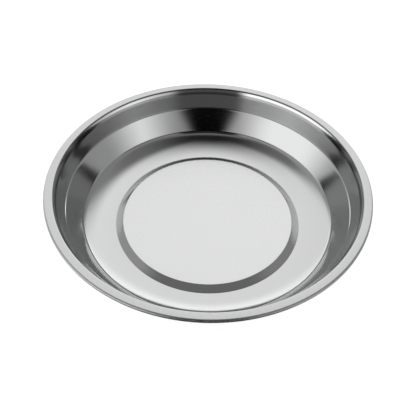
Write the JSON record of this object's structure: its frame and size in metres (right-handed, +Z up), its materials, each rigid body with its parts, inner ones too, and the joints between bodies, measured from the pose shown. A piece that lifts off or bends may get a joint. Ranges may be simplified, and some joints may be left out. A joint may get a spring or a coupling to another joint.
{
  "type": "magnetic parts tray",
  "caption": "Round pressed steel tray with a shallow bowl, a raised flat centre and a curled rim, bonded to a rubber-covered ring magnet, for holding small steel parts.",
  "frame": {"origin": "centre of the flat underside that the tray rests on", "axes": "+Z up along the dish's axis of revolution; the tray looks the same from every side, so +X and +Y are free"},
  "size_m": [0.15, 0.15, 0.034],
  "materials": {
    "stainless": "polished",
    "black_rubber": "matte",
    "ferrite": "matte",
    "zinc_plated_steel": "satin",
    "white_foam_plastic": "matte",
    "adhesive_film": "matte"
  },
  "bodies": {
    "root": {"dish": "stainless", "upper_adhesive_pad": "adhesive_film", "ring_magnet": "ferrite", "steel_washer": "zinc_plated_steel", "centre_plug": "white_foam_plastic", "lower_adhesive_pad": "adhesive_film", "cover_bond_ring": "adhesive_film", "base_cover": "black_rubber"}
  },
  "joints": []
}
